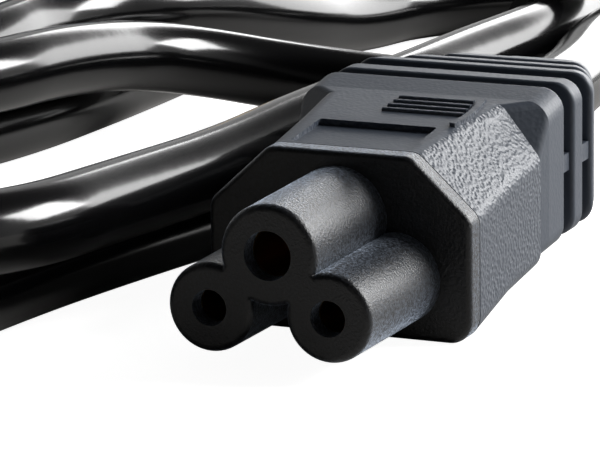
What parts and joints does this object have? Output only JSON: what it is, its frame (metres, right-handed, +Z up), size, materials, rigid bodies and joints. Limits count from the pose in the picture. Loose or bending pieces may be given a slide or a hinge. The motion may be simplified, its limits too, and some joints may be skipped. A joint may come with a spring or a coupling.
{
  "type": "cloverleaf power cord",
  "caption": "Mains lead with a cloverleaf appliance connector on one end and a grounded plug on the other, its round cord folded into a loose hank.",
  "frame": {"origin": "on the table, below the middle of the connector's length and width", "axes": "+Y from the barrels to the cord, +X to the right seen from the barrels' side, +Z up"},
  "size_m": [0.1132, 0.193, 0.025],
  "materials": {
    "carrier_plastic": "hard black plastic with a fine dull grain",
    "housing_vinyl": "black vinyl, grained on the body and smooth on top",
    "contact_brass": "plain",
    "copper": "bare copper",
    "core_black": "smooth",
    "core_white": "smooth",
    "core_green": "smooth",
    "cord_vinyl": "glossy black vinyl",
    "tie_plastic": "dull black",
    "plug_vinyl": "dull black vinyl",
    "bridge_plastic": "smooth black",
    "blade_metal": "bright"
  },
  "bodies": {
    "root": {"contact_carrier": "carrier_plastic", "connector_housing": "housing_vinyl", "line_contact": "contact_brass", "neutral_contact": "contact_brass", "earth_contact": "contact_brass", "line_copper": "copper", "neutral_copper": "copper", "earth_copper": "copper", "line_core": "core_black", "neutral_core": "core_white", "earth_core": "core_green", "connector_cord_jacket": "cord_vinyl", "cord_sheath": "cord_vinyl", "cord_tie": "tie_plastic", "plug_housing": "plug_vinyl", "plug_bridge": "bridge_plastic", "plug_line_blade": "blade_metal", "plug_neutral_blade": "blade_metal", "plug_ground_pin": "blade_metal", "plug_cord_jacket": "cord_vinyl", "plug_line_core": "core_black", "plug_neutral_core": "core_white", "plug_ground_core": "core_green", "plug_line_copper": "copper", "plug_neutral_copper": "copper", "plug_ground_copper": "copper"}
  },
  "joints": []
}
